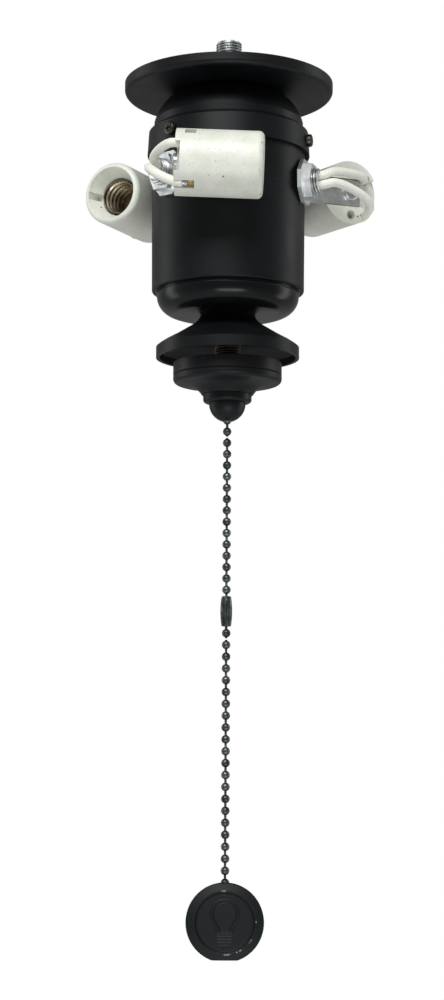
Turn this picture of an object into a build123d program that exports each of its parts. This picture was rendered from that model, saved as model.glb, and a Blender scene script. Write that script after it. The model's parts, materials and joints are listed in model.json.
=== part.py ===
from build123d import *
import math
import os

# Three-lamp fitter with a pull-chain switch, hanging from its top nipple.
# Millimetres, +Z up. The origin is on the axis, level with the canopy plate's rim.

# Threaded tube, as used at the top, at each lamp and down the middle
thread_d = 9.8
thread_bore_d = 7.2
thread_clear = 0.1
nut_af = 12.7
nut_height = 3.0
locknut_height = 2.4
thread_groove_depth = 0.6
top_nipple_up = 16.5
top_nipple_down = 10.0
slot_width = 1.2
slot_depth = 9.0

# Canopy plate, a shallow dish that opens upward
plate_d = 79.3
plate_height = 4.5
plate_wall = 1.4
plate_edge_radius = 1.8
plate_well_radius = 0.4

# Switch housing: domed cap over a tapering tube, closed by a bowl-shaped cover
tube_top_r = 29.2
tube_draft = 0.5
tube_wall = 1.2
cap_clear = 0.1
cap_wall = 1.0
cap_height = 23.7
cap_band_height = 8.7
cap_band_draft = 0.5
cap_neck_inset = 9.0
cap_dome_drop = 10.8
cap_overlap = 8.0
tube_below_cap = 52.7
cover_clear = 0.1
cover_wall = 1.2
cover_spigot = 4.0
cover_depth = 8.7
cover_step = 0.6
cover_bead_r = 0.35
cover_bead_drop = 1.1
cover_corner_radius = 7.2
screw_count = 3
screw_head_r = 2.4
screw_shank_r = 1.4
screw_drop_in_band = 4.3
screw_azimuths = [-44, 76, 196]

# Glass holder under the housing, and the rod through it
holder_top_r = 10.2
holder_r = 26.9
holder_flare = 12.4
holder_skirt = 4.0
holder_wall = 1.3
rod_bore_d = 6.6

# Finial: a cup that lifts the glass and a knob that screws up under it
cup_gap = 2.0
cup_r = 20.4
cup_rim = 4.7
cup_shoulder = 3.1
cup_shoulder_radius = 1.8
cup_groove = 0.3
cup_trumpet = 7.2
cup_foot_r = 9.7
knob_bead_r = 9.1
knob_bead_height = 3.1
knob_ball_r = 6.85
knob_ball_drop = 0.3
knob_clear = 0.05

# Lamp units: azimuth from the front toward the right, and twist about the nipple
unit_azimuths = {"front": -48, "right": 73, "back": 195}
unit_twists = {"front": -3.5, "right": 3.5, "back": 2.0}
lamp_nipple_drop = 40.3
lamp_nipple_out = 36.0
lamp_nipple_in = 21.5
base_af = 16.4
base_thickness = 1.5
seat_gap = 0.05
mouth_angle = 136
arm_thickness = 1.3
arm_height = 10.0
arm_start_y = 7.6
lampholder_gap = 2.5
arm_past_screw = 4.5
lampholder_drop = 1.0

# Candelabra lampholder
lampholder_r = 12.1
lampholder_length = 29.7
lampholder_rim_radius = 2.0
land_height = 1.9
valley_width = 10.8
socket_bore_r = 7.0
socket_floor_height = 8.3
flare_r = 10.2
flare_depth = 7.5
channel_angle = 53
pocket_angle = 55
window_width = 3.6
window_length = 5.4
window_pocket_start = 1.4
window_pocket_depth = 3.5
notch_width = 3.0
land_hole_r = 1.75
land_hole_depth = 4.0
land_hole_offset = 8.6
shell_length = 15.0
shell_wall = 0.4
shell_clear = 0.1
shell_ridge = 0.45
shell_turns = 6
contact_r = 2.2
contact_height = 2.0
bracket_screw_head_r = 3.15
bracket_screw_head_height = 1.8
bracket_screw_r = 1.5
bracket_screw_length = 6.0

# Leads between each nipple and its lampholder
lead_r = 1.65
lead_spread = 1.75
lead_inner_end = 25.0
lead_bend_x = {"upper": 39.5, "lower": 41.0}
lead_angle = {"upper": 37, "lower": 53}
lead_circle_r = {"upper": 9.0, "lower": 11.0}
lead_past_rear = {"upper": 2.0, "lower": 1.2}
lead_reach = {"upper": 3.6, "lower": 8.0}
lead_hole_clear = 0.15

# Pull switch inside the housing
switch_top_drop = 44.0
switch_x = 22.0
switch_y = 16.0
switch_wall = 1.6
bushing_length = 7.0
coupling_length = 9.0
coupling_af = 13.0
pull_travel = 8.0
actuator_width = 8.0
actuator_depth = 5.0
actuator_height = 4.0
actuator_top_gap = 0.6
spring_solid_length = 2.2
rotor_r = 5.0
rotor_thickness = 2.0
rotor_gap = 0.7
spring_clear = 0.3
spring_wire = 0.5

# Ball chain
ball_r = 1.6
link_r = 0.5
ball_pitch = 4.24
lower_ball_pitch = 4.34
first_ball_drop = 129.6
chain_hole_clear = 0.6
inner_balls_above = 18
inner_balls_below = 1
upper_visible_balls = 16
lower_visible_balls = 21
joint_half_gap = 0.3
connector_r = 2.2
connector_length = 11.2
connector_end_r = 1.75
connector_end_radius = 0.5
connector_end_wall = 0.2
connector_end_clear = 0.05
connector_bore_clear = 0.2
connector_hole_clear = 0.4
connector_seam = 0.2

# Fob
fob_r = 14.3
fob_thickness = 5.6
fob_flat_drop = 13.5
fob_edge = 1.0
fob_ridge_r = 11.4
fob_ridge_width = 0.5
fob_floor_r = 10.0
fob_floor_depth = 0.8
fob_ball_clear = 0.25
fob_ball_seat = 0.1
bulb_globe_r = 5.5
bulb_globe_rise = 3.1
bulb_neck_half = 3.0
bulb_neck_drop = 3.8
bulb_base_half = 2.5
bulb_base_drop = 8.4
bulb_line = 0.6
bulb_depth = 0.35

thread_r = thread_d / 2
thread_hole_r = thread_r + thread_clear
plate_floor_top = -plate_height + plate_wall
cap_top = -plate_height
cap_neck_r = tube_top_r - cap_neck_inset
cover_r = tube_top_r - tube_draft - tube_wall - cover_clear
chain_hole_r = ball_r + chain_hole_clear
spring_inner_r = ball_r + spring_clear
spring_outer_r = spring_inner_r + spring_wire
connector_bore_r = ball_r + connector_bore_clear
connector_hole_r = link_r + connector_hole_clear
switch_z = 2 * switch_wall + actuator_top_gap + actuator_height + pull_travel + spring_solid_length
cap_bottom = cap_top - cap_height
band_top = cap_bottom + cap_band_height
band_inner_r = tube_top_r + cap_clear
tube_top = cap_bottom + cap_overlap
tube_bottom = cap_bottom - tube_below_cap
tube_bottom_r = tube_top_r - tube_draft
cover_top = tube_bottom + cover_spigot
cover_bottom = tube_bottom - cover_depth
holder_skirt_top = cover_bottom - holder_flare
holder_bottom = holder_skirt_top - holder_skirt
cup_top = holder_bottom - cup_gap
cup_rim_bottom = cup_top - cup_rim
cup_bottom = cup_rim_bottom - cup_trumpet
knob_top = cup_bottom - knob_clear
knob_bead_bottom = knob_top - knob_bead_height
knob_ball_z = knob_bead_bottom - knob_ball_drop
switch_top = -switch_top_drop
switch_bottom = switch_top - switch_z
cavity_top = switch_top - switch_wall
cavity_bottom = switch_bottom + switch_wall
actuator_top = cavity_top - actuator_top_gap
actuator_bottom = actuator_top - actuator_height
bushing_bottom = switch_bottom - bushing_length
rod_top = bushing_bottom - seat_gap
rod_bottom = cup_bottom
unit_z = -lamp_nipple_drop
base_inner_x = tube_top_r + seat_gap
base_outer_x = base_inner_x + base_thickness
nut_corner_r = nut_af / 2 / math.cos(math.pi / 6)
wall_inner_r = tube_top_r - tube_draft - tube_wall
inner_nut_x = math.sqrt(wall_inner_r**2 - nut_corner_r**2) - nut_height

low = (Align.CENTER, Align.CENTER, Align.MIN)

os.makedirs("parts", exist_ok=True)


def save(name, shape):
    export_step(shape, "parts/" + name + ".step")


def ring(outer_r, inner_r, bottom, top):
    """A tube from bottom to top around the Z axis."""
    height = top - bottom
    outer = Cylinder(outer_r, height, align=low)
    inner = Cylinder(inner_r, height, align=low)
    return Pos(0, 0, bottom) * (outer - inner)


def nut(across_flats, bore_r, height, bottom):
    """A hexagonal nut around the Z axis."""
    corner_r = across_flats / 2 / math.cos(math.pi / 6)
    body = extrude(RegularPolygon(corner_r, 6), height) - Pos(0, 0, height / 2) * Cylinder(bore_r, height + 2)
    return Pos(0, 0, bottom) * body


def turned(points):
    """Revolve a closed outline of (radius, height) points about Z."""
    outline = make_face(Polyline([(r, 0, z) for r, z in points], close=True))
    return revolve(outline, Axis.Z)


def along_x(shape, start):
    """Stand a shape made upward from z = 0 on the X axis, from x = start outward."""
    return Pos(start, 0, 0) * Rot(0, 90, 0) * shape


def pan_screw(head_r, head_height, shank_r, shank_length):
    """Head upward from z = 0 with a cross recess, shank downward."""
    head = Cylinder(head_r, head_height, align=low)
    head = fillet(head.edges().group_by(Axis.Z)[-1], head_height * 0.45)
    arm = head_r * 1.1
    for turn in (0, 90):
        head -= Rot(0, 0, turn) * Pos(0, 0, head_height) * Box(arm, head_r * 0.25, head_height)
    shank = Cylinder(shank_r, shank_length, align=(Align.CENTER, Align.CENTER, Align.MAX))
    return head + shank


# Top nipple and canopy plate
top_nipple_bottom = cap_top - top_nipple_down
top_nipple = ring(thread_r, thread_bore_d / 2, top_nipple_bottom, top_nipple_up)
slot = Pos(thread_r, 0, top_nipple_up) * Box(thread_d, slot_width, 2 * slot_depth)
top_nipple -= Rot(0, 0, -50) * slot
locknut_top = plate_floor_top + locknut_height
top_nipple -= ring(thread_d, thread_r - thread_groove_depth, locknut_top, 0)
save("top_nipple", top_nipple)
save("top_locknut", nut(nut_af, thread_hole_r, locknut_height, plate_floor_top))
cap_inner_top = cap_top - cap_wall
save("cap_locknut", nut(nut_af, thread_hole_r, nut_height, cap_inner_top - nut_height))

dish = Pos(0, 0, -plate_height) * Cylinder(plate_d / 2, plate_height, align=low)
dish = fillet(dish.edges().group_by(Axis.Z)[0], plate_edge_radius)
well = Pos(0, 0, plate_floor_top) * Cylinder(plate_d / 2 - plate_wall, plate_height, align=low)
well = fillet(well.edges().group_by(Axis.Z)[0], plate_well_radius)
dish = dish - well - Cylinder(thread_hole_r, 3 * plate_height)
save("canopy_plate", dish)


# Housing cap: a dome, a shallow shoulder and a band with a little draft
def cap_solid(inset):
    """The cap's outside, or its inside when inset is the wall."""
    dome_bottom = cap_top - cap_dome_drop
    top = cap_top - inset
    neck = cap_neck_r - inset
    dome_r = tube_top_r - 0.9 - inset
    band_r = band_inner_r + cap_wall - inset
    dome = ThreePointArc(
        (neck, 0, top),
        (neck + 0.68 * (dome_r - neck), 0, top - 0.49 * (top - dome_bottom)),
        (dome_r, 0, dome_bottom),
    )
    draft = cap_band_draft if inset == 0 else 0
    rest = Polyline(
        (dome_r, 0, dome_bottom),
        (dome_r, 0, band_top + 1.6),
        (band_r, 0, band_top),
        (band_r + draft, 0, cap_bottom),
        (0, 0, cap_bottom),
        (0, 0, top),
        (neck, 0, top),
    )
    return revolve(make_face([dome, rest]), Axis.Z)


cap = cap_solid(0) - cap_solid(cap_wall) - Pos(0, 0, cap_top) * Cylinder(thread_hole_r, 10)

tube = turned([
    (tube_top_r - tube_wall, tube_top),
    (tube_top_r, tube_top),
    (tube_bottom_r, tube_bottom),
    (tube_bottom_r - tube_wall, tube_bottom),
])
outer_foot = tube.edges().group_by(Axis.Z)[0].sort_by(SortBy.RADIUS)[-1]
tube = fillet(outer_foot, tube_wall * 0.6)

screw_z = band_top - screw_drop_in_band
screw_seat_r = band_inner_r + cap_wall + cap_band_draft
screw_shank = screw_seat_r - tube_top_r + tube_wall + 1.0
for index, azimuth in enumerate(screw_azimuths[:screw_count]):
    place = Pos(0, 0, screw_z) * Rot(0, 0, azimuth - 90)
    hole = place * along_x(Cylinder(screw_shank_r + seat_gap, 12), tube_top_r)
    cap -= hole
    tube -= hole
    screw = pan_screw(screw_head_r, 1.6, screw_shank_r, screw_shank)
    save("cap_screw_" + str(index + 1), place * along_x(screw, screw_seat_r + seat_gap))
save("housing_cap", cap)

# Bottom cover, glass holder, rod and its nuts
cover_height = cover_top - cover_bottom
bowl_r = cover_r - cover_step
cover = Pos(0, 0, cover_bottom) * Cylinder(bowl_r, cover_height, align=low)
cover = fillet(cover.edges().group_by(Axis.Z)[0], cover_corner_radius)
cover += Pos(0, 0, tube_bottom) * Cylinder(cover_r, cover_spigot, align=low)
cover += Pos(0, 0, tube_bottom - cover_bead_drop) * Torus(bowl_r - 0.5 * cover_bead_r, cover_bead_r)
cover_hollow = Pos(0, 0, cover_bottom + cover_wall) * Cylinder(bowl_r - cover_wall, cover_height, align=low)
cover_hollow = fillet(cover_hollow.edges().group_by(Axis.Z)[0], cover_corner_radius - cover_wall)
cover = cover - cover_hollow - Pos(0, 0, cover_bottom) * Cylinder(thread_hole_r, 10)
save("bottom_cover", cover)


def flare(shift_r, shift_z):
    """The holder's concave flare, from its neck to the top of its skirt."""
    rise = holder_skirt_top - cover_bottom
    run = holder_r - holder_top_r
    steps = [(0, 0), (0.08, 0.19), (0.34, 0.45), (0.61, 0.67), (0.87, 0.87), (1, 1)]
    return Spline([
        (holder_top_r + run * a - shift_r, 0, cover_bottom + rise * b - shift_z) for a, b in steps
    ])


outer_flare = flare(0, 0)
inner_flare = flare(holder_wall, holder_wall)
holder_outline = make_face([
    outer_flare,
    Polyline(outer_flare @ 1, (holder_r, 0, holder_bottom), (holder_r - holder_wall, 0, holder_bottom),
             inner_flare @ 1),
    inner_flare,
    Polyline(inner_flare @ 0, (thread_hole_r, 0, cover_bottom - holder_wall),
             (thread_hole_r, 0, cover_bottom), outer_flare @ 0),
])
save("glass_holder", revolve(holder_outline, Axis.Z))
save("threaded_rod", ring(thread_r, rod_bore_d / 2, rod_bottom, rod_top))
save("rod_nut_upper", nut(nut_af, thread_hole_r, nut_height, cover_bottom + cover_wall))
save("rod_nut_lower", nut(nut_af, thread_hole_r, nut_height, cover_bottom - holder_wall - nut_height))

# Finial cup and knob
shoulder_r = cup_r - cup_shoulder_radius
shoulder_z = cup_rim_bottom - cup_shoulder
trumpet_steps = [(1, 0), (0.56, 0.13), (0.28, 0.36), (0.12, 0.66), (0, 1)]
trumpet_height = cup_trumpet - cup_shoulder
trumpet = Spline([
    (cup_foot_r + (shoulder_r - 0.4 - cup_foot_r) * a, 0, shoulder_z - trumpet_height * b) for a, b in trumpet_steps
])
bend = cup_shoulder_radius * (1 - math.sqrt(0.5))
corner = ThreePointArc(
    (cup_r, 0, shoulder_z + cup_shoulder_radius),
    (cup_r - bend, 0, shoulder_z + bend),
    (shoulder_r, 0, shoulder_z),
)
cup_outline = make_face([
    corner,
    Polyline(corner @ 1, trumpet @ 0),
    trumpet,
    Polyline(
        trumpet @ 1, (thread_hole_r, 0, cup_bottom), (thread_hole_r, 0, cup_rim_bottom + 1.5),
        (cup_r - 4.0, 0, cup_rim_bottom + 2.5), (cup_r - 4.0, 0, cup_top), (cup_r, 0, cup_top),
        (cup_r, 0, cup_rim_bottom + cup_groove), (cup_r - cup_groove, 0, cup_rim_bottom),
        (cup_r, 0, cup_rim_bottom - cup_groove), corner @ 0,
    ),
])
save("finial_cup", revolve(cup_outline, Axis.Z))

bead = Pos(0, 0, knob_bead_bottom) * Cylinder(knob_bead_r, knob_bead_height, align=low)
bead = fillet(bead.edges().group_by(Axis.Z)[0], knob_bead_height * 0.4)
knob = bead + Pos(0, 0, knob_ball_z) * Sphere(knob_ball_r)
knob -= Pos(0, 0, knob_top + 10) * Cylinder(knob_bead_r + 5, 20)
knob -= Pos(0, 0, knob_ball_z) * Cylinder(chain_hole_r, 60)
save("finial_knob", knob)

# Pull switch
case = Pos(0, 0, (switch_top + switch_bottom) / 2) * Box(switch_x, switch_y, switch_z)
case -= Pos(0, 0, (switch_top + cavity_bottom) / 2) * Box(
    switch_x - 2 * switch_wall, switch_y - 2 * switch_wall, switch_top - cavity_bottom)
case -= Pos(0, 0, switch_bottom) * Cylinder(chain_hole_r, 4 * switch_wall)
save("switch_case", case)
cover_plate = Box(switch_x, switch_y, switch_wall, align=low)
save("switch_cover", Pos(0, 0, switch_top) * cover_plate)
save("switch_bushing", ring(thread_r, chain_hole_r, bushing_bottom, switch_bottom))
coupling_top = bushing_bottom + coupling_length / 2
save("switch_coupling", nut(coupling_af, thread_hole_r, coupling_length, coupling_top - coupling_length))

actuator = Pos(0, 0, actuator_bottom) * Box(actuator_width, actuator_depth, actuator_height, align=low)
rotor_y = actuator_depth / 2 + rotor_gap
rotor_z = (cavity_top + cavity_bottom) / 2
rotor = Pos(0, rotor_y + rotor_thickness / 2, rotor_z) * Rot(90, 0, 0) * Cylinder(rotor_r, rotor_thickness)
save("switch_rotor", rotor)
save("pull_actuator", actuator)
save("return_spring", ring(spring_outer_r, spring_inner_r, cavity_bottom, actuator_bottom))


# Ball chain, hung straight down the axis
connector_ball_gap = connector_length - 2 * (connector_end_wall + ball_r + connector_end_clear)
def chain(centres, top, bottom):
    """Balls at the given heights on one thin link that runs from top to bottom."""
    half = math.sqrt(ball_r**2 - link_r**2)
    edges = []
    start = (link_r, 0, top)
    for z in centres:
        meet = (link_r, 0, z + half)
        leave = (link_r, 0, z - half)
        if start[2] - meet[2] > 1e-6:
            edges.append(Line(start, meet))
        edges.append(ThreePointArc(meet, (ball_r, 0, z), leave))
        start = leave
    if start[2] - bottom > 1e-6:
        edges.append(Line(start, (link_r, 0, bottom)))
        start = (link_r, 0, bottom)
    edges.append(Polyline(start, (0, 0, start[2]), (0, 0, top), (link_r, 0, top)))
    return revolve(make_face(edges), Axis.Z)


def ball_z(index):
    """Height of a ball, counted downward from the one in the knob's mouth."""
    if index <= upper_visible_balls:
        return -first_ball_drop - index * ball_pitch
    beyond = index - upper_visible_balls - 1
    return ball_z(upper_visible_balls) - connector_ball_gap - beyond * lower_ball_pitch


def between(index):
    """Height half way between this ball and the next one down."""
    return (ball_z(index) + ball_z(index + 1)) / 2


swing_at = between(inner_balls_below)
inner_range = range(-inner_balls_above, inner_balls_below + 1)
inner_top = actuator_bottom + 1.0
save("inner_chain", chain([ball_z(i) for i in inner_range if ball_z(i) + ball_r < actuator_bottom - 0.2],
                          inner_top, swing_at + joint_half_gap))

connector_upper_ball = upper_visible_balls
connector_lower_ball = upper_visible_balls + 1
upper_range = range(inner_balls_below + 1, connector_upper_ball + 1)
upper_bottom = ball_z(connector_upper_ball) - math.sqrt(ball_r**2 - link_r**2)
save("upper_chain", chain([ball_z(i) for i in upper_range], swing_at - joint_half_gap, upper_bottom))

connector_z = (ball_z(connector_upper_ball) + ball_z(connector_lower_ball)) / 2
connector_half = connector_length / 2
barrel = ThreePointArc((connector_end_r, 0, -connector_half), (connector_r, 0, 0), (connector_end_r, 0, connector_half))
barrel_ends = Polyline(barrel @ 1, (0, 0, connector_half), (0, 0, -connector_half), barrel @ 0)
connector = revolve(make_face([barrel, barrel_ends]), Axis.Z)
for end in (0, -1):
    connector = fillet(connector.edges().group_by(Axis.Z)[end], connector_end_radius)
connector -= Cylinder(connector_bore_r, connector_ball_gap - ball_r)
for side in (-1, 1):
    connector -= Pos(0, 0, side * connector_ball_gap / 2) * Sphere(ball_r + connector_end_clear)
connector -= Cylinder(connector_hole_r, 2 * connector_length)
connector -= Pos(0, -connector_r, 0) * Box(connector_seam, 2 * connector_r, 2 * connector_length)
save("chain_connector", Pos(0, 0, connector_z) * connector)

stub_ball = connector_lower_ball + 1
lower_swing_at = between(stub_ball)
stub_top = ball_z(connector_lower_ball) + math.sqrt(ball_r**2 - link_r**2)
save("connector_stub", chain([ball_z(connector_lower_ball), ball_z(stub_ball)], stub_top,
                             lower_swing_at + joint_half_gap))
last_ball = connector_lower_ball + lower_visible_balls + 2
lower_range = range(stub_ball + 1, last_ball + 1)
lower_bottom = ball_z(last_ball) - math.sqrt(ball_r**2 - link_r**2)
save("lower_chain", chain([ball_z(i) for i in lower_range], lower_swing_at - joint_half_gap, lower_bottom))

# Fob, a coin-shaped disc that faces the front
half_ball_z = ball_z(last_ball - 1)
fob_z = half_ball_z - fob_r + fob_ball_seat
face_z = fob_thickness / 2
floor_z = face_z - fob_floor_depth
fob = turned([
    (0, -face_z), (fob_r - fob_edge, -face_z), (fob_r, fob_edge - face_z), (fob_r, face_z - fob_edge),
    (fob_ridge_r + fob_ridge_width / 2, face_z), (fob_ridge_r - fob_ridge_width / 2, face_z),
    (fob_floor_r, floor_z), (0, floor_z),
])
fob -= Pos(0, -fob_flat_drop - fob_r, 0) * Box(4 * fob_r, 2 * fob_r, 4 * fob_thickness)


def bulb_shape(inset):
    """A lamp bulb's outline: a round globe that narrows to its neck."""
    globe = Pos(0, bulb_globe_rise) * Circle(bulb_globe_r - inset)
    shoulder = bulb_globe_rise - 0.5 * bulb_globe_r
    wide = 0.86 * bulb_globe_r - inset
    narrow = bulb_neck_half - inset
    foot = inset - bulb_neck_drop
    return globe + make_face(Polyline([(-wide, shoulder), (wide, shoulder), (narrow, foot), (-narrow, foot)], close=True))


bulb_outline = bulb_shape(0) - bulb_shape(bulb_line)
fob -= Pos(0, 0, floor_z - bulb_depth) * extrude(bulb_outline, 2 * bulb_depth)
base_rows = [0.12, 0.34, 0.56, 0.78]
for row in base_rows:
    row_y = -bulb_neck_drop - row * (bulb_base_drop - bulb_neck_drop)
    fob -= Pos(0, row_y, floor_z) * Box(2 * bulb_base_half, bulb_line, 2 * bulb_depth)
fob = Pos(0, 0, fob_z) * Rot(90, 0, 0) * fob
fob -= Pos(0, 0, half_ball_z) * Sphere(ball_r + fob_ball_clear)
fob -= Pos(0, 0, ball_z(last_ball)) * Sphere(ball_r + fob_ball_clear)
fob -= Pos(0, 0, (half_ball_z + ball_z(last_ball)) / 2) * Cylinder(link_r + fob_ball_clear, ball_pitch)
save("fob", fob)

# Lamp units, in a frame with X out along the nipple and Z up
mouth = Vector(math.cos(math.radians(mouth_angle)), math.sin(math.radians(mouth_angle)), 0)
arm = Vector(mouth.Y, -mouth.X, 0)
arm_start = Vector(base_outer_x, arm_start_y, 0)
arm_to_screw = tube_top_r + lampholder_gap + lampholder_r - arm_start.dot(arm)
screw_point = arm_start + arm * arm_to_screw + Vector(0, 0, -lampholder_drop)
rear_centre = screw_point + mouth * arm_thickness
rear_place = Plane(origin=rear_centre, x_dir=arm, z_dir=mouth).location

nipple_hole = along_x(Cylinder(thread_hole_r, 40), tube_top_r)
lamp_nipple = along_x(ring(thread_r, thread_bore_d / 2, 0, lamp_nipple_out - lamp_nipple_in), lamp_nipple_in)
outer_nut = along_x(Rot(0, 0, 30) * nut(nut_af, thread_hole_r, nut_height, 0), base_outer_x)
inner_nut = along_x(Rot(0, 0, 30) * nut(nut_af, thread_hole_r, nut_height, 0), inner_nut_x)

octagon = extrude(RegularPolygon(base_af / 2 / math.cos(math.pi / 8), 8, rotation=22.5), base_thickness)
octagon -= Cylinder(thread_hole_r, 4 * base_thickness)
bracket_base = along_x(octagon, base_inner_x)
arm_length = arm_to_screw + arm_past_screw
arm_frame = Plane(origin=arm_start, x_dir=arm, z_dir=mouth).location
arm_strip = Pos(arm_length / 2 - 0.6, lampholder_drop, arm_thickness / 2) * Box(
    arm_length + 1.2, arm_height, arm_thickness)
bracket = bracket_base + arm_frame * arm_strip
screw_bore = Cylinder(bracket_screw_r + seat_gap, 2 * bracket_screw_length)
bracket -= rear_place * screw_bore

lower_channel_depth = lampholder_r - lead_circle_r["lower"] + lead_r + 0.3
lower_channel = Rot(0, 0, channel_angle) * Pos(lampholder_r, 0, -land_height) * Box(
    2 * lower_channel_depth, window_width, window_length + land_height, align=low)
upper_pocket = Rot(0, 0, -pocket_angle) * Pos(lampholder_r, 0, window_pocket_start) * Box(
    2 * window_pocket_depth, window_width, window_length - window_pocket_start, align=low)
hole_top = max(window_pocket_start, lead_past_rear["upper"]) + 0.5
upper_hole = Rot(0, 0, -lead_angle["upper"]) * Pos(lead_circle_r["upper"], 0, -land_height) * Cylinder(
    lead_r + lead_hole_clear, land_height + hole_top, align=low)

porcelain = Cylinder(lampholder_r, lampholder_length, align=low)
porcelain = fillet(porcelain.edges().group_by(Axis.Z)[-1], lampholder_rim_radius)
land = Pos(0, 0, -land_height) * Cylinder(lampholder_r, land_height, align=low)
land -= Pos(0, 0, -land_height) * Box(4 * lampholder_r, valley_width, 4 * land_height)
land &= Pos(0, 0, -land_height / 2) * Box(4 * lampholder_r, 2 * lampholder_r, land_height)
porcelain += land
socket_floor = socket_floor_height
socket_depth = lampholder_length - socket_floor
porcelain -= Pos(0, 0, socket_floor) * Cylinder(socket_bore_r, socket_depth, align=low)
mouth_cone = Pos(0, 0, lampholder_length - flare_depth) * Cone(socket_bore_r, flare_r, flare_depth, align=low)
porcelain -= mouth_cone
porcelain -= Pos(socket_bore_r, 0, lampholder_length - flare_depth) * Box(
    6, notch_width, flare_depth, align=low)
for shape in (lower_channel, upper_pocket, upper_hole):
    porcelain -= shape
porcelain -= Pos(0, land_hole_offset, -land_height) * Cylinder(land_hole_r, land_hole_depth, align=low)
porcelain -= screw_bore

shell_r = socket_bore_r - shell_clear
shell_bottom = socket_floor + 0.5
shell_points = [(shell_r, shell_bottom)]
turn_height = shell_length / shell_turns
for turn in range(shell_turns):
    start = shell_bottom + turn * turn_height
    shell_points.append((shell_r - shell_ridge, start + turn_height / 2))
    shell_points.append((shell_r, start + turn_height))
inner_points = [(r - shell_wall, z) for r, z in reversed(shell_points)]
screw_shell = turned(shell_points + inner_points)
contact = Pos(0, 0, socket_floor) * Cylinder(contact_r, contact_height, align=low)
contact = fillet(contact.edges().group_by(Axis.Z)[-1], contact_height * 0.4)
contact -= Pos(0, 0, 0) * Cylinder(bracket_screw_r + seat_gap, 2 * bracket_screw_length)
bracket_screw = pan_screw(
    bracket_screw_head_r, bracket_screw_head_height, bracket_screw_r, bracket_screw_length - 0.2)
bracket_screw = Pos(0, 0, -arm_thickness) * Rot(180, 0, 0) * bracket_screw


def lead(name, side):
    """A sleeved lead from the nipple's bore round to its terminal in the porcelain."""
    angle = math.radians(lead_angle[name])
    across = arm * (lead_circle_r[name] * math.cos(angle))
    up = Vector(0, 0, side * lead_circle_r[name] * math.sin(angle))
    target = rear_centre + across + up
    points = [
        Vector(lead_inner_end, 0, side * lead_spread),
        Vector(lead_bend_x[name], 0, side * lead_spread),
        target - mouth * lead_reach[name],
        target + mouth * lead_past_rear[name],
    ]
    radii = []
    runs = [points[i + 1] - points[i] for i in range(len(points) - 1)]
    for before, after in zip(runs, runs[1:]):
        turn = math.radians(before.get_angle(after))
        radii.append(0.42 * min(before.length, after.length) / math.tan(turn / 2))
    path = FilletPolyline(*points, radius=radii)
    section = Plane(origin=path @ 0, z_dir=path % 0) * Circle(lead_r)
    tube_solid = sweep(section, path)
    ideal = math.pi * lead_r**2 * path.length
    print("lead radii", [round(r, 1) for r in radii], "length", round(path.length, 1),
          "volume ratio", round(tube_solid.volume / ideal, 3))
    return tube_solid


lead_shapes = {"upper": lead("upper", 1), "lower": lead("lower", -1)}

for unit, azimuth in unit_azimuths.items():
    place = Pos(0, 0, unit_z) * Rot(0, 0, azimuth - 90) * Rot(unit_twists[unit], 0, 0)
    tube -= place * nipple_hole
    save("lamp_nipple_" + unit, place * lamp_nipple)
    save("lamp_nut_" + unit, place * outer_nut)
    save("inner_nut_" + unit, place * inner_nut)
    save("lamp_bracket_" + unit, place * bracket)
    save("bracket_screw_" + unit, place * rear_place * bracket_screw)
    save("lampholder_" + unit, place * rear_place * porcelain)
    save("screw_shell_" + unit, place * rear_place * screw_shell)
    save("centre_contact_" + unit, place * rear_place * contact)
    for name, shape in lead_shapes.items():
        save("lead_" + name + "_" + unit, place * shape)
save("housing_tube", tube)
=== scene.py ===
import json
import math
import bpy
import numpy as np
from mathutils import Matrix, Vector


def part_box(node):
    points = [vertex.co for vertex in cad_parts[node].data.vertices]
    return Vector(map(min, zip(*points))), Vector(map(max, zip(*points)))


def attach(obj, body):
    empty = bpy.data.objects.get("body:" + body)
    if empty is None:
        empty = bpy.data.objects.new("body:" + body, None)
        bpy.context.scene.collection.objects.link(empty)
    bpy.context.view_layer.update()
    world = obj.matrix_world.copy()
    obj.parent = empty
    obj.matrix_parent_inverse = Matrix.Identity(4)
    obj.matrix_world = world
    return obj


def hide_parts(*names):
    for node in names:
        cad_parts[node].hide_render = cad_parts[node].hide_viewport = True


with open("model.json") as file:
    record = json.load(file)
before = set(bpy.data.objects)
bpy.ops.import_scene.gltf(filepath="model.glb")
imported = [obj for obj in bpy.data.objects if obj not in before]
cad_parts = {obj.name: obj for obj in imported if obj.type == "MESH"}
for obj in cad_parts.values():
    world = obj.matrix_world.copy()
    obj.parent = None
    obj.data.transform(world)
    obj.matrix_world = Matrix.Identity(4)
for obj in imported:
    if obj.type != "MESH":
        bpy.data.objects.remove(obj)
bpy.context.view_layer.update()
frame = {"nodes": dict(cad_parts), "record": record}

mm = 0.001

# the eye looks slightly up at the fitter from in front
view = {"distance": 0.798, "height": -0.2576, "pitch": 7.0, "roll": 0.3, "side": -0.0018, "lens": 77.6}

cameraData = bpy.data.cameras.new("frontCamera")
cameraData.sensor_fit = "VERTICAL"
cameraData.sensor_height = 36.0
cameraData.sensor_width = 36.0 * 444 / 1000
cameraData.lens = view["lens"]
camera = bpy.data.objects.new("frontCamera", cameraData)
bpy.context.scene.collection.objects.link(camera)
camera.location = (view["side"], -view["distance"], view["height"])
turn = Matrix.Rotation(math.radians(90 + view["pitch"]), 4, "X") @ Matrix.Rotation(math.radians(view["roll"]), 4, "Z")
camera.rotation_euler = turn.to_euler()
bpy.context.scene.camera = camera
print("camera placed")


def linear(hexValue):
    # sRGB hex to the linear colour that the shader takes
    value = np.array([int(hexValue[i:i + 2], 16) for i in (1, 3, 5)]) / 255
    out = np.where(value <= 0.04045, value / 12.92, ((value + 0.055) / 1.055) ** 2.4)
    return (*out.tolist(), 1.0)


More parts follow.
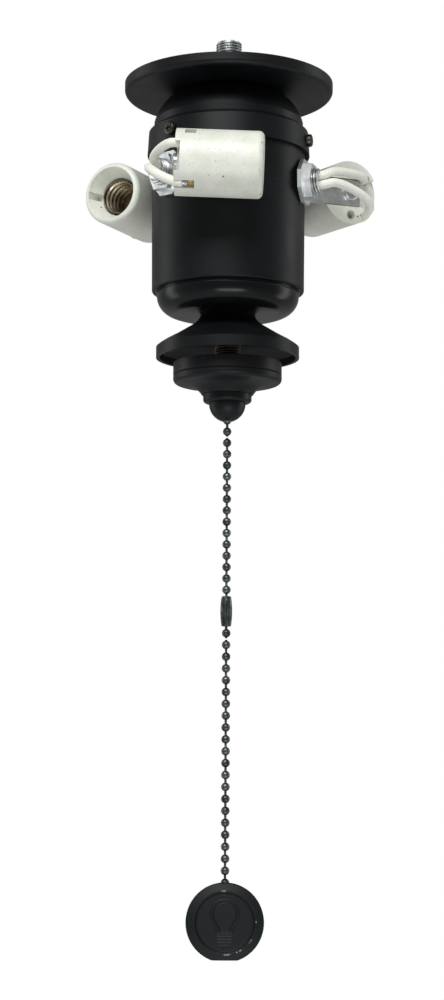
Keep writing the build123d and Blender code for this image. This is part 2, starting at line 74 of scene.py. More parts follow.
def addNode(tree, kind, settings=None, links=None):
    # one node: settings are its properties or inputs, links map an input to an output socket
    node = tree.nodes.new(kind)
    for key, value in (settings or {}).items():
        if isinstance(key, str) and hasattr(node, key):
            setattr(node, key, value)
        else:
            node.inputs[key].default_value = value
    for key, source in (links or {}).items():
        tree.links.new(source, node.inputs[key])
    return node


def ramp(tree, source, stops):
    # a colour ramp with the given (position, value) stops
    node = addNode(tree, "ShaderNodeValToRGB", links={"Fac": source})
    elements = node.color_ramp.elements
    while len(elements) > 1:
        elements.remove(elements[-1])
    for index, (position, colour) in enumerate(stops):
        element = elements[0] if index == 0 else elements.new(position)
        element.position = position
        element.color = colour
    return node.outputs["Color"]


def grey(value):
    return (value, value, value, 1.0)


def newMaterial(name, metallic, roughness, colour, **extra):
    material = bpy.data.materials.new(name)
    material.use_nodes = True
    tree = material.node_tree
    shader = tree.nodes["Principled BSDF"]
    shader.inputs["Metallic"].default_value = metallic
    shader.inputs["Roughness"].default_value = roughness
    shader.inputs["Base Color"].default_value = linear(colour)
    for key, value in extra.items():
        shader.inputs[key.replace("_", " ")].default_value = value
    place = addNode(tree, "ShaderNodeTexCoord").outputs["Object"]
    return material, tree, shader, place


def perMillimetre(size):
    # a pattern scale whose features are about this many millimetres
    return 1.0 / (size * mm)


def bump(tree, shader, height, strength, distance):
    node = addNode(tree, "ShaderNodeBump", {"Strength": strength, "Distance": distance * mm}, {"Height": height})
    tree.links.new(node.outputs["Normal"], shader.inputs["Normal"])


def noise(tree, place, size, detail=3.0, roughness=0.5):
    return addNode(tree, "ShaderNodeTexNoise",
                   {"Scale": perMillimetre(size), "Detail": detail, "Roughness": roughness},
                   {"Vector": place}).outputs["Fac"]


def overlay(tree, amount, under, colour):
    # the colour laid over what is under it, as much as the amount says
    mix = addNode(tree, "ShaderNodeMix", {"data_type": "RGBA"}, {0: amount, 6: under})
    mix.inputs[7].default_value = linear(colour)
    return mix.outputs[2]


def attribute(tree, name):
    return addNode(tree, "ShaderNodeAttribute", {"attribute_name": name}).outputs["Fac"]


def powderCoat(name, colour, lighter, roughness, grain, worn=None):
    # polyester powder coat: sprayed dry and baked, so it shows a fine orange peel and soft highlights
    material, tree, shader, place = newMaterial(name, 0.0, roughness, colour, IOR=1.5, Specular_IOR_Level=0.22)
    bump(tree, shader, noise(tree, place, 0.8, 2.0), 0.2, grain)
    cloud = noise(tree, place, 16.0, 3.0)
    base = ramp(tree, cloud, [(0.35, linear(colour)), (0.7, linear(lighter))])
    # a few pale dust grains caught in the coat
    cells = addNode(tree, "ShaderNodeTexVoronoi", {"Scale": perMillimetre(7.0)}, {"Vector": place})
    dust = ramp(tree, cells.outputs["Distance"], [(0.0, grey(1)), (0.018, grey(1)), (0.03, grey(0))])
    base = overlay(tree, dust, base, "#4a5055")
    if worn is not None:
        # the edge attribute marks where handling has taken the coat off
        base = overlay(tree, attribute(tree, "worn"), base, worn)
    tree.links.new(base, shader.inputs["Base Color"])
    tree.links.new(ramp(tree, cloud, [(0.3, grey(roughness - 0.04)), (0.7, grey(roughness + 0.05))]),
                   shader.inputs["Roughness"])
    return material


def steatite():
    # steatite porcelain: pressed and fired, off-white with a green cast, small brown iron specks and a thin glaze
    material, tree, shader, place = newMaterial("firedPorcelain", 0.0, 0.42, "#dcdfd3", IOR=1.54)
    cloud = ramp(tree, noise(tree, place, 7.0, 4.0), [(0.3, linear("#d3d7ca")), (0.7, linear("#e2e4da"))])
    grain = ramp(tree, noise(tree, place, 0.9, 5.0, 0.7), [(0.36, grey(0.35)), (0.5, grey(0))])
    base = overlay(tree, grain, cloud, "#bfc3b4")
    # specks of three sizes, each with its spacing in mm, its width, how many are left out, and its colour
    specks = ((1.3, 0.08, 0.47, "#a2957a"), (2.4, 0.06, 0.48, "#85775e"), (5.0, 0.055, 0.46, "#4d4436"))
    for size, width, keep, colour in specks:
        cells = addNode(tree, "ShaderNodeTexVoronoi", {"Scale": perMillimetre(size)}, {"Vector": place})
        speck = ramp(tree, cells.outputs["Distance"], [(0.0, grey(1)), (width, grey(1)), (1.7 * width, grey(0))])
        fewer = ramp(tree, noise(tree, place, 1.7 * size, 1.0), [(keep, grey(0)), (keep + 0.05, grey(1))])
        both = addNode(tree, "ShaderNodeMath", {"operation": "MULTIPLY"}, {0: speck, 1: fewer}).outputs[0]
        base = overlay(tree, both, base, colour)
    tree.links.new(base, shader.inputs["Base Color"])
    bump(tree, shader, noise(tree, place, 0.7, 4.0, 0.65), 0.25, 0.05)
    return material


def glassSleeve():
    # braided glass-fibre sleeving: fine strands cross at 45 degrees, matt and white, soft at its edge;
    # real strands are 0.4 mm apart, drawn at 0.8 mm so that they show
    material, tree, shader, place = newMaterial("braidedGlassSleeve", 0.0, 0.75, "#eeeee6", Sheen_Weight=0.25)
    uv = addNode(tree, "ShaderNodeTexCoord").outputs["UV"]
    strands = []
    for lean in (1, -1):
        turned = addNode(tree, "ShaderNodeMapping", links={"Vector": uv})
        turned.inputs["Rotation"].default_value = (0, 0, math.radians(45 * lean))
        wave = addNode(tree, "ShaderNodeTexWave", {"Scale": 0.32 / 0.8, "Distortion": 0.5, "Detail": 1.0},
                       {"Vector": turned.outputs[0]})
        strands.append(wave.outputs["Fac"])
    weave = addNode(tree, "ShaderNodeMath", {"operation": "MAXIMUM"}, {0: strands[0], 1: strands[1]}).outputs[0]
    tree.links.new(ramp(tree, weave, [(0.2, linear("#cfd0c5")), (0.8, linear("#ecece3"))]),
                   shader.inputs["Base Color"])
    bump(tree, shader, weave, 0.4, 0.12)
    return material


def platedMetal(name, colour, dark, paintedShade, roughness, patch, grain):
    # electroplate over a stamped or turned part: colour drifts in patches, scratches are fine,
    # and painted shade darkens the bottoms of its threads and other hollows that a mark picks out
    material, tree, shader, place = newMaterial(name, 1.0, roughness, colour)
    cloud = noise(tree, place, patch, 3.0)
    base = ramp(tree, cloud, [(0.34, linear(dark)), (0.62, linear(colour))])
    # painted shade: the mark lays a dark colour over the plate in its hollows
    tree.links.new(overlay(tree, attribute(tree, "paintedShade"), base, paintedShade), shader.inputs["Base Color"])
    tree.links.new(ramp(tree, cloud, [(0.3, grey(roughness + 0.08)), (0.7, grey(roughness))]),
                   shader.inputs["Roughness"])
    bump(tree, shader, noise(tree, place, grain, 3.0, 0.6), 0.12, 0.02)
    return material


def phenolic():
    # compression-moulded phenolic: dark brown-black with a faint fill
    material, tree, shader, place = newMaterial("mouldedPhenolic", 0.0, 0.4, "#2a211c", IOR=1.6)
    tree.links.new(ramp(tree, noise(tree, place, 1.2, 4.0), [(0.4, linear("#211a16")), (0.7, linear("#3a2e27"))]),
                   shader.inputs["Base Color"])
    return material


finishes = {
    "black_coat": powderCoat("satinPowderCoat", "#090b0d", "#0e1114", 0.42, 0.04),
    "porcelain": steatite(),
    "glass_sleeve": glassSleeve(),
    "zinc_plate": platedMetal("brightZincPlate", "#dfe2e1", "#bcc1c3", "#54585a", 0.33, 5.0, 0.8),
    "nickel_shell": platedMetal("thinNickelPlate", "#d8cfbb", "#ab9d84", "#3a3124", 0.26, 4.0, 0.8),
    "brass_contact": platedMetal("rolledBrass", "#c6ab74", "#94794a", "#3a2a12", 0.34, 4.0, 0.8),
    "brass_thread": platedMetal("dullBrassPlate", "#cfc4a8", "#978a69", "#2c261b", 0.36, 3.0, 0.8),
    "dark_nickel": platedMetal("darkNickelPlate", "#655f57", "#36332f", "#16140f", 0.3, 2.0, 0.8),
    "gunmetal": platedMetal("gunmetalPlate", "#6a706c", "#383d3b", "#101110", 0.32, 3.0, 0.8),
    "phenolic": phenolic(),
}
finishes["gloss_coat"] = powderCoat("glossPowderCoat", "#07090b", "#0b0e10", 0.24, 0.02)
finishes["fob_coat"] = powderCoat("matteFobCoat", "#0f1416", "#14191c", 0.5, 0.04, "#b9b4aa")
print("materials made", len(finishes))

glossy = {"bottom_cover": "gloss_coat"}
slotOf = {row["node"]: row["material_slot"] for row in frame["record"]["subparts"]}
for nodeName, node in frame["nodes"].items():
    node.data.materials.clear()
    node.data.materials.append(finishes[glossy.get(nodeName, slotOf[nodeName])])
print("CAD nodes finished", len(frame["nodes"]))


def makePiece(name, rings, body, material, wall=False, marks=None, run=None):
    # rings (rows, columns, 3) in mm go round counter-clockwise about the way the rows go, so faces point out;
    # a wall joins its last row to its first, and anything else gets a point at each end
    rows, columns = rings.shape[:2]
    row, column = np.meshgrid(np.arange(rows if wall else rows - 1), np.arange(columns), indexing="ij")
    row, column = row.ravel(), column.ravel()
    above, beside = (row + 1) % rows, (column + 1) % columns
    faces = np.stack([row * columns + column, row * columns + beside,
                      above * columns + beside, above * columns + column], axis=1).tolist()
    points = rings.reshape(-1, 3)
    along = np.arange(rows, dtype=float) if run is None else run
    part = 1.0 / columns
    across = np.stack([column * part, (column + 1) * part, (column + 1) * part, column * part], axis=1)
    down = np.stack([along[row], along[row], along[above], along[above]], axis=1)
    uv = np.stack([across, down], axis=2).reshape(-1, 2)
    if not wall:
        around = np.arange(columns)
        first, last = rows * columns, rows * columns + 1
        points = np.concatenate([points, rings[0].mean(axis=0)[None], rings[-1].mean(axis=0)[None]])
        faces += np.stack([np.full(columns, first), (around + 1) % columns, around], axis=1).tolist()
        top = (rows - 1) * columns
        faces += np.stack([np.full(columns, last), top + around, top + (around + 1) % columns], axis=1).tolist()
        for end in (along[0], along[-1]):
            fan = np.stack([(around + 0.5) * part, around * part, (around + 1) * part], axis=1)
            uv = np.concatenate([uv, np.stack([fan, np.full_like(fan, end)], axis=2).reshape(-1, 2)])
    mesh = bpy.data.meshes.new(name)
    mesh.from_pydata((points * mm).tolist(), [], faces)
    mesh.polygons.foreach_set("use_smooth", np.ones(len(faces), dtype=bool))
    layer = mesh.uv_layers.new(name="UVMap")
    layer.data.foreach_set("uv", uv.ravel())
    for markName, values in (marks or {}).items():
        full = np.zeros(len(points))
        full[:rows * columns] = values.ravel()
        mesh.attributes.new(markName, "FLOAT", "POINT").data.foreach_set("value", full)
    mesh.update()
    piece = bpy.data.objects.new(name, mesh)
    bpy.context.scene.collection.objects.link(piece)
    mesh.materials.append(material)
    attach(piece, body)
    return piece


def placed(rings, place):
    # the same rings after a turn and a shift, in mm
    spun = rings @ np.array(place.to_3x3()).T
    return spun + np.array(place.translation)


def screwSurface(pitch, crest, depth, start, end, columns, perTurn, sharp):
    # radius is the crest less depth times a trapezoid wave of z / pitch - t / 2 pi, faded in at both ends
    rows = int((end - start) / pitch * perTurn) + 1
    z = np.linspace(start, end, rows)[:, None]
    t = np.linspace(0, 2 * np.pi, columns, endpoint=False)[None, :]
    wave = 2 * np.abs((z / pitch - t / (2 * np.pi)) % 1.0 - 0.5)
    lift = np.clip((wave - 0.5) * sharp + 0.5, 0, 1)
    fade = np.clip(np.minimum(z - start, end - z) / (0.5 * pitch), 0, 1)
    drop = 1 - lift * fade
    return crest - depth * drop, t + 0 * z, z + 0 * t, drop * fade


def wallRings(r, t, z, bore):
    # the outside as given, then the bore back down, as one closed wall
    outside = np.stack([r * np.cos(t), r * np.sin(t), z], axis=-1)
    back = np.array([z[-1, 0], z[0, 0]])[:, None] + 0 * t[:1]
    inside = np.stack([bore * np.cos(t[:1]) + 0 * back, bore * np.sin(t[:1]) + 0 * back, back], axis=-1)
    return np.concatenate([outside, inside])


thread = {"pitch": 1.0, "crest": 4.9, "depth": 0.5, "bore": 3.6, "columns": 72, "perTurn": 12, "sharp": 1.7}


def threadedTube(name, start, end, bore, slotName, place, keyway=None):
    # a plated steel tube with a rolled thread; a keyway cuts one side down near the bore
    r, t, z, drop = screwSurface(thread["pitch"], thread["crest"], thread["depth"], start, end,
                                 thread["columns"], thread["perTurn"], thread["sharp"])
    if keyway is not None:
        middle, halfWidth, low = keyway
        across = np.abs((t - middle + np.pi) % (2 * np.pi) - np.pi) * thread["crest"]
        cut = (across < halfWidth) & (z > low)
        r, drop = np.where(cut, bore + 0.15, r), np.where(cut, 1.0, drop)
    rings = wallRings(r, t, z, bore)
    # painted shade: the mark darkens the thread valleys, and the keyway's floor in full
    marks = {"paintedShade": np.concatenate([drop ** 2, np.zeros((2, drop.shape[1]))])}
    return makePiece(name, placed(rings, place), "housing", finishes[slotName], True, marks)


unit = {"azimuth": {"front": -48, "right": 73, "back": 195}, "twist": {"front": -3.5, "right": 3.5, "back": 2.0},
        "drop": 40.3, "mouthAngle": 136, "armStart": (30.75, 7.6), "lampholderR": 12.1, "housingR": 29.2,
        "gap": 2.5, "lampholderDrop": 1.0, "armThickness": 1.3}


def unitPlace(name):
    # the unit's own frame in mm: X out along its nipple, Z up, turned to its azimuth and twisted about the nipple
    turnZ = Matrix.Rotation(math.radians(unit["azimuth"][name] - 90), 4, "Z")
    twist = Matrix.Rotation(math.radians(unit["twist"][name]), 4, "X")
    return Matrix.Translation((0, 0, -unit["drop"])) @ turnZ @ twist


mouth = Vector((math.cos(math.radians(unit["mouthAngle"])), math.sin(math.radians(unit["mouthAngle"])), 0))
arm = Vector((mouth.y, -mouth.x, 0))
armStart = Vector((*unit["armStart"], 0))
armToScrew = unit["housingR"] + unit["gap"] + unit["lampholderR"] - armStart.dot(arm)
rear = armStart + arm * armToScrew + mouth * unit["armThickness"] - Vector((0, 0, unit["lampholderDrop"]))
side = mouth.cross(arm)
holderPlace = Matrix(((arm.x, side.x, mouth.x, rear.x), (arm.y, side.y, mouth.y, rear.y),
                      (arm.z, side.z, mouth.z, rear.z), (0, 0, 0, 1)))
alongX = Matrix.Rotation(math.radians(90), 4, "Y")

topBox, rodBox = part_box("top_nipple"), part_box("threaded_rod")
topTube = threadedTube("topNippleThread", topBox[0][2] / mm, topBox[1][2] / mm, thread["bore"], "zinc_plate",
                       Matrix.Identity(4), (math.radians(-50), 0.6, 7.5))
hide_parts("top_nipple")
rodTube = threadedTube("rodThread", rodBox[0][2] / mm, rodBox[1][2] / mm, 3.3, "brass_thread", Matrix.Identity(4))
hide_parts("threaded_rod")
for name in unit["azimuth"]:
    tube = threadedTube("lampNippleThread_" + name, 21.5, 36.0, thread["bore"], "zinc_plate",
                        unitPlace(name) @ alongX)
    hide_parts("lamp_nipple_" + name)
print("threads cut")

shell = {"pitch": 2.55, "r": 6.88, "depth": 0.75, "wall": 0.3, "from": 8.8, "to": 23.8, "columns": 96, "perTurn": 20}


def screwShell(name):
    # rolled sheet: the outer and inner faces share one sine screw of radius r - depth (1 - cos(z / pitch - t)) / 2
    rows = int((shell["to"] - shell["from"]) / shell["pitch"] * shell["perTurn"]) + 1
    z = np.linspace(shell["from"], shell["to"], rows)[:, None]
    t = np.linspace(0, 2 * np.pi, shell["columns"], endpoint=False)[None, :]
    dip = 0.5 - 0.5 * np.cos(2 * np.pi * z / shell["pitch"] - t)
    fade = np.clip((shell["to"] - z) / 1.2, 0, 1)
    r = shell["r"] - shell["depth"] * dip * fade
    z = z + 0 * t
    outside = np.stack([r * np.cos(t), r * np.sin(t), z], axis=-1)
    inner = (r - shell["wall"])[::-1]
    inside = np.stack([inner * np.cos(t), inner * np.sin(t), z[::-1]], axis=-1)
    # painted shade laid on both faces of the sheet, strongest where the sheet bulges outward
    deep = (1 - dip * fade) ** 3
    marks = {"paintedShade": 0.75 * np.concatenate([deep, deep[::-1]])}
    piece = makePiece("rolledShell_" + name, placed(np.concatenate([outside, inside]), unitPlace(name) @ holderPlace),
                      "housing", finishes["nickel_shell"], True, marks)
    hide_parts("screw_shell_" + name)


for name in unit["azimuth"]:
    screwShell(name)
print("screw shells rolled")


def routeLine(points):
    # the smooth line of a NURBS spline of order 3 whose control points are the route's, in mm
    data = bpy.data.curves.new("route", "CURVE")
    data.dimensions = "3D"
    data.resolution_u = 24
    spline = data.splines.new("NURBS")
    spline.points.add(len(points) - 1)
    spline.points.foreach_set("co", np.array([[*p, 1.0] for p in points]).ravel())
    spline.order_u = 3
    spline.use_endpoint_u = True
    holder = bpy.data.objects.new("route", data)
    bpy.context.scene.collection.objects.link(holder)
    bpy.context.view_layer.update()
    graph = bpy.context.evaluated_depsgraph_get()
    mesh = bpy.data.meshes.new_from_object(holder.evaluated_get(graph))
    line = np.zeros(3 * len(mesh.vertices))
    mesh.vertices.foreach_get("co", line)
    bpy.data.objects.remove(holder)
    bpy.data.meshes.remove(mesh)
    return line.reshape(-1, 3)


def tubeAlong(line, distance, radius, columns, lean):
    # rings at the given distances along the line, each a circle of that radius square to it
    steps = np.concatenate([[0], np.cumsum(np.linalg.norm(np.diff(line, axis=0), axis=1))])
    distance = np.clip(distance, 0, steps[-1])
    centre = np.stack([np.interp(distance, steps, line[:, k]) for k in range(3)], axis=1)
    ahead = np.stack([np.interp(np.clip(distance + 0.2, 0, steps[-1]), steps, line[:, k]) for k in range(3)], axis=1)
    behind = np.stack([np.interp(np.clip(distance - 0.2, 0, steps[-1]), steps, line[:, k]) for k in range(3)], axis=1)
    tangent = ahead - behind
    tangent /= np.linalg.norm(tangent, axis=1)[:, None]
    across = np.cross(np.array(lean), tangent)
    across /= np.linalg.norm(across, axis=1)[:, None]
    upward = np.cross(tangent, across)
    t = np.linspace(0, 2 * np.pi, columns, endpoint=False)
    circle = across[:, None] * np.cos(t)[None, :, None] + upward[:, None] * np.sin(t)[None, :, None]
    return centre[:, None] + circle * np.asarray(radius)[:, None, None], steps[-1]


sleeve = {"r": 1.65, "columns": 32, "step": 0.4,
          "routes": {"upper": [(24, 0, 1.75), (37, 0, 1.75), (40.2, 3.0, 4.6), (47.5, 19.4, 5.2),
                               (47.32, 25.19, 4.42), (45.16, 27.27, 4.42)],
                     "lower": [(24, 0, -1.75), (37, 0, -1.75), (42.0, 2.2, 0.3), (52.2, 16.8, -5.4),
                               (47.64, 24.08, -9.78), (45.34, 26.31, -9.78)]},
          "length": {"upper": 0.0436, "lower": 0.0482}}


def lead(name, which):
    # a sleeved wire: a tube along its route, its ends drawn a little narrower, UV in mm round and along
    line = placed(routeLine(sleeve["routes"][which]), unitPlace(name))
    length = np.linalg.norm(np.diff(line, axis=0), axis=1).sum()
    distance = np.linspace(0, length, int(length / sleeve["step"]))
    radius = sleeve["r"] * (1 + 0.015 * np.sin(distance * 1.9) + 0.012 * np.sin(distance * 4.3 + 1))
    edge = np.clip(np.minimum(distance, length - distance) / 0.5, 0, 1)
    radius *= 0.85 + 0.15 * np.sqrt(edge)
    rings, _ = tubeAlong(line, distance, radius, sleeve["columns"], (0, 0, 1))
    piece = makePiece("sleevedLead_" + which + "_" + name, rings, "housing", finishes["glass_sleeve"],
                      run=distance)
    layer = piece.data.uv_layers["UVMap"].data
    uv = np.zeros(2 * len(layer))
    layer.foreach_get("uv", uv)
    uv = uv.reshape(-1, 2) * (2 * np.pi * sleeve["r"], 1.0)
    layer.foreach_set("uv", uv.ravel())
    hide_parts("lead_" + which + "_" + name)
    print("lead", name, which, round(float(length), 1))


crimp = {"circleR": 11.0, "angle": 53, "from": 0.9, "to": 3.1, "r": 1.2}
tab = {"from": 2.8, "to": 5.2, "half": 1.1, "thick": 0.35}


def leadTerminal(name):
    # a small tinned barrel: a tube whose radius pinches by a fifth where the tool has closed it
    run = np.linspace(crimp["from"], crimp["to"], 24)
    middle = 0.5 * (crimp["from"] + crimp["to"])
    pinch = 0.22 * np.exp(-((run - middle) / 0.6) ** 2)
    edge = np.clip(np.minimum(run - run[0], run[-1] - run) / 0.25, 0.3, 1)
    t = np.linspace(0, 2 * np.pi, 28, endpoint=False)
    r = (crimp["r"] * (1 - pinch) * np.sqrt(edge))[:, None]
    middleX = crimp["circleR"] * math.cos(math.radians(crimp["angle"]))
    middleY = crimp["circleR"] * math.sin(math.radians(crimp["angle"]))
    x = middleX + r * np.cos(t)
    y = middleY + r * np.sin(t) * (1 + pinch[:, None])
    rings = np.stack([x, y, run[:, None] + 0 * x], axis=-1)
    makePiece("crimpBarrel_" + name, placed(rings, unitPlace(name) @ holderPlace), "housing",
              finishes["zinc_plate"])
    # the terminal's tab: a thin brass strip, a superellipse of power 6 swept along the porcelain
    run = np.linspace(tab["from"], tab["to"], 8)
    edge = np.clip(np.minimum(run - run[0], run[-1] - run) / 0.3, 0.6, 1)[:, None]
    c, d = np.cos(t), np.sin(t)
    size = (np.abs(c) ** 6 + np.abs(d) ** 6) ** (-1 / 6)
    flatX, flatY = tab["thick"] * size * c * edge, tab["half"] * size * d * edge
    lean = math.radians(crimp["angle"])
    x = middleX + flatX * math.cos(lean) - flatY * math.sin(lean)
    y = middleY + flatX * math.sin(lean) + flatY * math.cos(lean)
    rings = np.stack([x, y, run[:, None] + 0 * x], axis=-1)
    makePiece("terminalTab_" + name, placed(rings, unitPlace(name) @ holderPlace), "housing",
              finishes["brass_contact"])


for name in unit["azimuth"]:
    for which in sleeve["routes"]:
        lead(name, which)
    leadTerminal(name)
print("leads laid")

chain = {"ballR": 1.6, "linkR": 0.45, "pitch": 4.24, "lowerPitch": 4.34, "first": 129.6, "caught": 7.5,
         "upperCaught": 16, "last": 39, "columns": 24}


def ballZ(index):
    # height of a ball, counted down from the one in the knob's mouth; two are held in the connector
    if index <= chain["upperCaught"]:
        return -chain["first"] - index * chain["pitch"]
    beyond = index - chain["upperCaught"] - 1
    return ballZ(chain["upperCaught"]) - chain["caught"] - beyond * chain["lowerPitch"]


def ballChain(name, indices, top, bottom, body, nodes):
    # the radius follows a ball, sqrt(ballR^2 - d^2), near each centre and the link's wire between them
    line = routeLine([(0, 0, top), (0, 0, 0.5 * (top + bottom)), (0, 0, bottom)])
    start = top
    levels = [start]
    for index in indices:
        reach = math.sqrt(chain["ballR"] ** 2 - chain["linkR"] ** 2)
        angle = np.linspace(-1, 1, 13) * (math.pi / 2) * 0.82
        levels += (ballZ(index) - reach * np.sin(angle) / math.sin(angle[-1])).tolist()
    levels = np.array(levels + [bottom])
    levels = levels[(levels <= top) & (levels >= bottom)]
    centres = np.array([ballZ(index) for index in indices])
    near = np.abs(levels[:, None] - centres[None, :]).min(axis=1)
    radius = np.sqrt(np.maximum(chain["ballR"] ** 2 - near ** 2, chain["linkR"] ** 2))
    rings, _ = tubeAlong(line, start - levels, radius, chain["columns"], (0, 1, 0))
    # painted shade darkens the balls' rims and the link wire between them
    dark = np.repeat((np.clip((near - 1.1) / 0.5, 0, 1) * 0.5)[:, None], chain["columns"], axis=1)
    piece = makePiece(name, rings, body, finishes["gunmetal"], marks={"paintedShade": dark})
    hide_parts(*nodes)
    return piece, (line * mm).tolist()


swingZ = (ballZ(1) + ballZ(2)) / 2
lowerZ = (ballZ(18) + ballZ(19)) / 2
upperChain, upperPath = ballChain("upperBallChain", range(2, 17), swingZ - 0.3, ballZ(16) - 1.5, "chain_upper",
                                  ["upper_chain"])
lowerChain, lowerPath = ballChain("lowerBallChain", range(19, 40), lowerZ - 0.3, ballZ(39) - 1.45, "chain_lower",
                                  ["lower_chain"])
print("chains hung")

fob = {"r": 14.3, "half": 2.8, "flat": 13.5, "columns": 320, "rows": 120,
       "profileR": [0, 9.6, 9.9, 10.3, 10.9, 11.15, 11.4, 11.65, 11.9, 13.7, 14.1, 14.3],
       "profileZ": [2.0, 2.0, 1.9, 1.95, 2.6, 2.78, 2.82, 2.77, 2.66, 1.98, 1.76, 1.45],
       "globeY": 3.1, "globeR": 5.5, "neckY": -3.8, "neckHalf": 3.0, "baseHalf": 2.85, "baseEnd": -8.4,
       "line": 1.2, "rib": 0.24, "glassFoot": -3.2, "socket": 1.85}


def bulbDistance(x, y):
    # how far outside a lamp bulb's outline a point is: a circle above, then a cubic shoulder down to the neck
    yJoin = fob["globeY"] - 0.5 * fob["globeR"]
    wJoin, sJoin = fob["globeR"] * math.cos(math.radians(30)), math.tan(math.radians(30))
    span = yJoin - fob["neckY"]
    s = np.clip((y - fob["neckY"]) / span, 0, 1)
    w = ((2 * s ** 3 - 3 * s ** 2 + 1) * fob["neckHalf"] + (s ** 3 - 2 * s ** 2 + s) * span * 0.1
         + (3 * s ** 2 - 2 * s ** 3) * wJoin + (s ** 3 - s ** 2) * span * sJoin)
    globe = np.hypot(x, y - fob["globeY"]) - fob["globeR"]
    return np.where(y > yJoin, globe, (np.abs(x) - w) * 0.85)


def fobRelief(x, y):
    # the front face's height: a turned profile, a raised rib along the bulb's outline, and ridges on its screw base
    z = np.interp(np.hypot(x, y), fob["profileR"], fob["profileZ"])
    d = bulbDistance(x, y)
    inner = np.maximum(d + fob["line"], fob["glassFoot"] - y)
    outer = np.maximum(d, fob["neckY"] - y)
    body = 1 / (1 + np.exp(outer / 0.1))
    glass = 1 / (1 + np.exp(inner / 0.1))
    z = z + fob["rib"] * (body - glass)
    z = z - 0.3 * np.exp(-(inner / 0.22) ** 2) - 0.16 * np.exp(-(outer / 0.18) ** 2)
    low = np.clip((-6.4 - y) / 2.0, 0, 1)
    half = fob["baseHalf"] * np.sqrt(np.clip(1 - 0.75 * low ** 2, 0, 1))
    base = 1 / (1 + np.exp((np.abs(x) - half) / 0.09))
    base = base / (1 + np.exp((y - fob["neckY"] + 0.1) / 0.08)) / (1 + np.exp((fob["baseEnd"] - y) / 0.08))
    return z + base * (0.12 + 0.14 * np.cos(2 * np.pi * (y + 4.0) / 1.08))


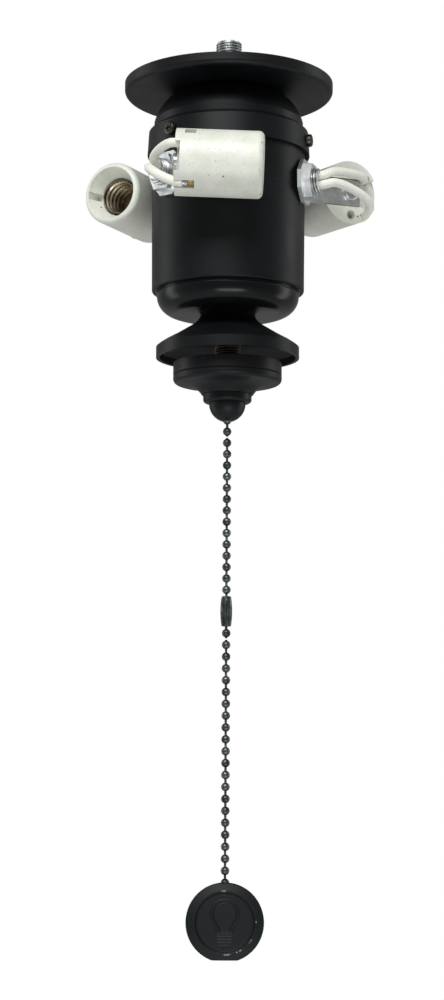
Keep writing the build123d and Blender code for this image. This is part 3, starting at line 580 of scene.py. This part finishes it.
def makeFob():
    # rings shrink with the outline, a circle cut by a chord below, from the front's centre over the rim to the back
    t = np.linspace(0, 2 * np.pi, fob["columns"], endpoint=False)
    chord = fob["flat"] / np.maximum(-np.sin(t), 1e-3)
    outline = np.where(np.sin(t) < 0, np.minimum(fob["r"], chord), fob["r"])
    share = np.linspace(0.004, 1, fob["rows"])[:, None]
    x, y = share * outline * np.cos(t), share * outline * np.sin(t)
    front = np.stack([x, y, fobRelief(x, y)], axis=-1)
    rim = np.linspace(1.3, -1.7, 16)[:, None]
    edge = np.stack([outline * np.cos(t) + 0 * rim, outline * np.sin(t) + 0 * rim, rim + 0 * outline], axis=-1)
    backShare = np.array([1 - 0.35 / 14.3, 1 - 0.95 / 14.3, 0.9, 0.6, 0.3, 0.004])[:, None]
    backZ = np.array([-2.45, -2.8, -2.8, -2.8, -2.8, -2.8])[:, None]
    back = np.stack([backShare * outline * np.cos(t), backShare * outline * np.sin(t), backZ + 0 * outline], axis=-1)
    rings = np.concatenate([front, edge, back])
    # the socket for the last ball: edge points inside its sphere move down onto it
    ballY = fob["r"] - 0.1
    flat = rings[..., 0] ** 2 + rings[..., 2] ** 2
    sunk = ballY - np.sqrt(np.maximum(fob["socket"] ** 2 - flat, 0))
    rings[..., 1] = np.where((flat < fob["socket"] ** 2) & (rings[..., 1] > sunk), sunk, rings[..., 1])
    radius, angle = np.hypot(rings[..., 0], rings[..., 1]), np.degrees(np.arctan2(rings[..., 1], rings[..., 0]))
    ridge = np.exp(-((radius - 11.4) / 0.2) ** 2) * (rings[..., 2] > 2)
    # where the ridge is worn: the middle and half width of each spot, in degrees
    wornSpots = ((92, 3.0), (2, 1.2), (-33, 1.2), (-38, 0.8), (-60, 1.8), (-67, 0.8), (-84, 3.2), (-90, 1.5))
    spots = 0
    for centre, width in wornSpots:
        spots = spots + np.exp(-((angle - centre) / width) ** 2)
    ragged = 0.6 + 0.4 * np.sin(angle * 2.9) * np.sin(angle * 7.3 + 1)
    # the face looks to the front: X stays, the face's up becomes Z and its outward side -Y; rows then run backward
    centreZ = ballZ(chain["last"]) - fob["r"] + 0.1
    world = np.stack([rings[..., 0], -rings[..., 2], rings[..., 1] + centreZ], axis=-1)[::-1]
    marks = {"worn": np.clip(1.3 * ridge * spots * ragged, 0, 1)[::-1]}
    piece = makePiece("fobDisc", world, "fob", finishes["fob_coat"], marks=marks)
    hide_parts("fob")
    return piece


fobDisc = makeFob()
print("fob pressed")


def softLight(name, place, size, power, aim):
    data = bpy.data.lights.new(name, "AREA")
    data.shape = "RECTANGLE"
    data.size, data.size_y = size
    data.energy = power
    light = bpy.data.objects.new(name, data)
    bpy.context.scene.collection.objects.link(light)
    light.location = place
    light.rotation_euler = (Vector(aim) - Vector(place)).to_track_quat("-Z", "Y").to_euler()


lights = {
    "leftStrip": ((-0.9, 0.25, -0.1), (0.3, 1.1), 2.2, (0, 0, -0.1)),
    "rightStrip": ((0.9, 0.25, -0.1), (0.3, 1.1), 2.2, (0, 0, -0.1)),
    "frontTop": ((-0.25, -1.1, 0.95), (1.1, 0.7), 23, (0, 0, -0.1)),
    "frontLow": ((0.1, -1.0, -1.0), (0.9, 0.5), 8, (0, 0, -0.1)),
}
for name, values in lights.items():
    softLight(name, *values)
world = bpy.data.worlds.new("studio")
bpy.context.scene.world = world
world.use_nodes = True
worldTree = world.node_tree
seen = addNode(worldTree, "ShaderNodeLightPath").outputs["Is Camera Ray"]
sky = worldTree.nodes["Background"]
sky.inputs["Color"].default_value = (1, 1, 1, 1)
# the sweep shows white, and lights the object only dimly
strength = addNode(worldTree, "ShaderNodeMapRange", {"To Min": 0.27, "To Max": 1.0}, {"Value": seen})
worldTree.links.new(strength.outputs["Result"], sky.inputs["Strength"])
bpy.context.scene.view_settings.view_transform = "Standard"
floorMesh = bpy.data.meshes.new("paleFloor")
floorMesh.from_pydata([(-4, -4, -1), (4, -4, -1), (4, 4, -1), (-4, 4, -1)], [], [(0, 1, 2, 3)])
floor = bpy.data.objects.new("paleFloor", floorMesh)
bpy.context.scene.collection.objects.link(floor)
floor.data.materials.append(newMaterial("paleFloorPaint", 0.0, 0.8, "#f2f2f2")[0])
print("stage lit")
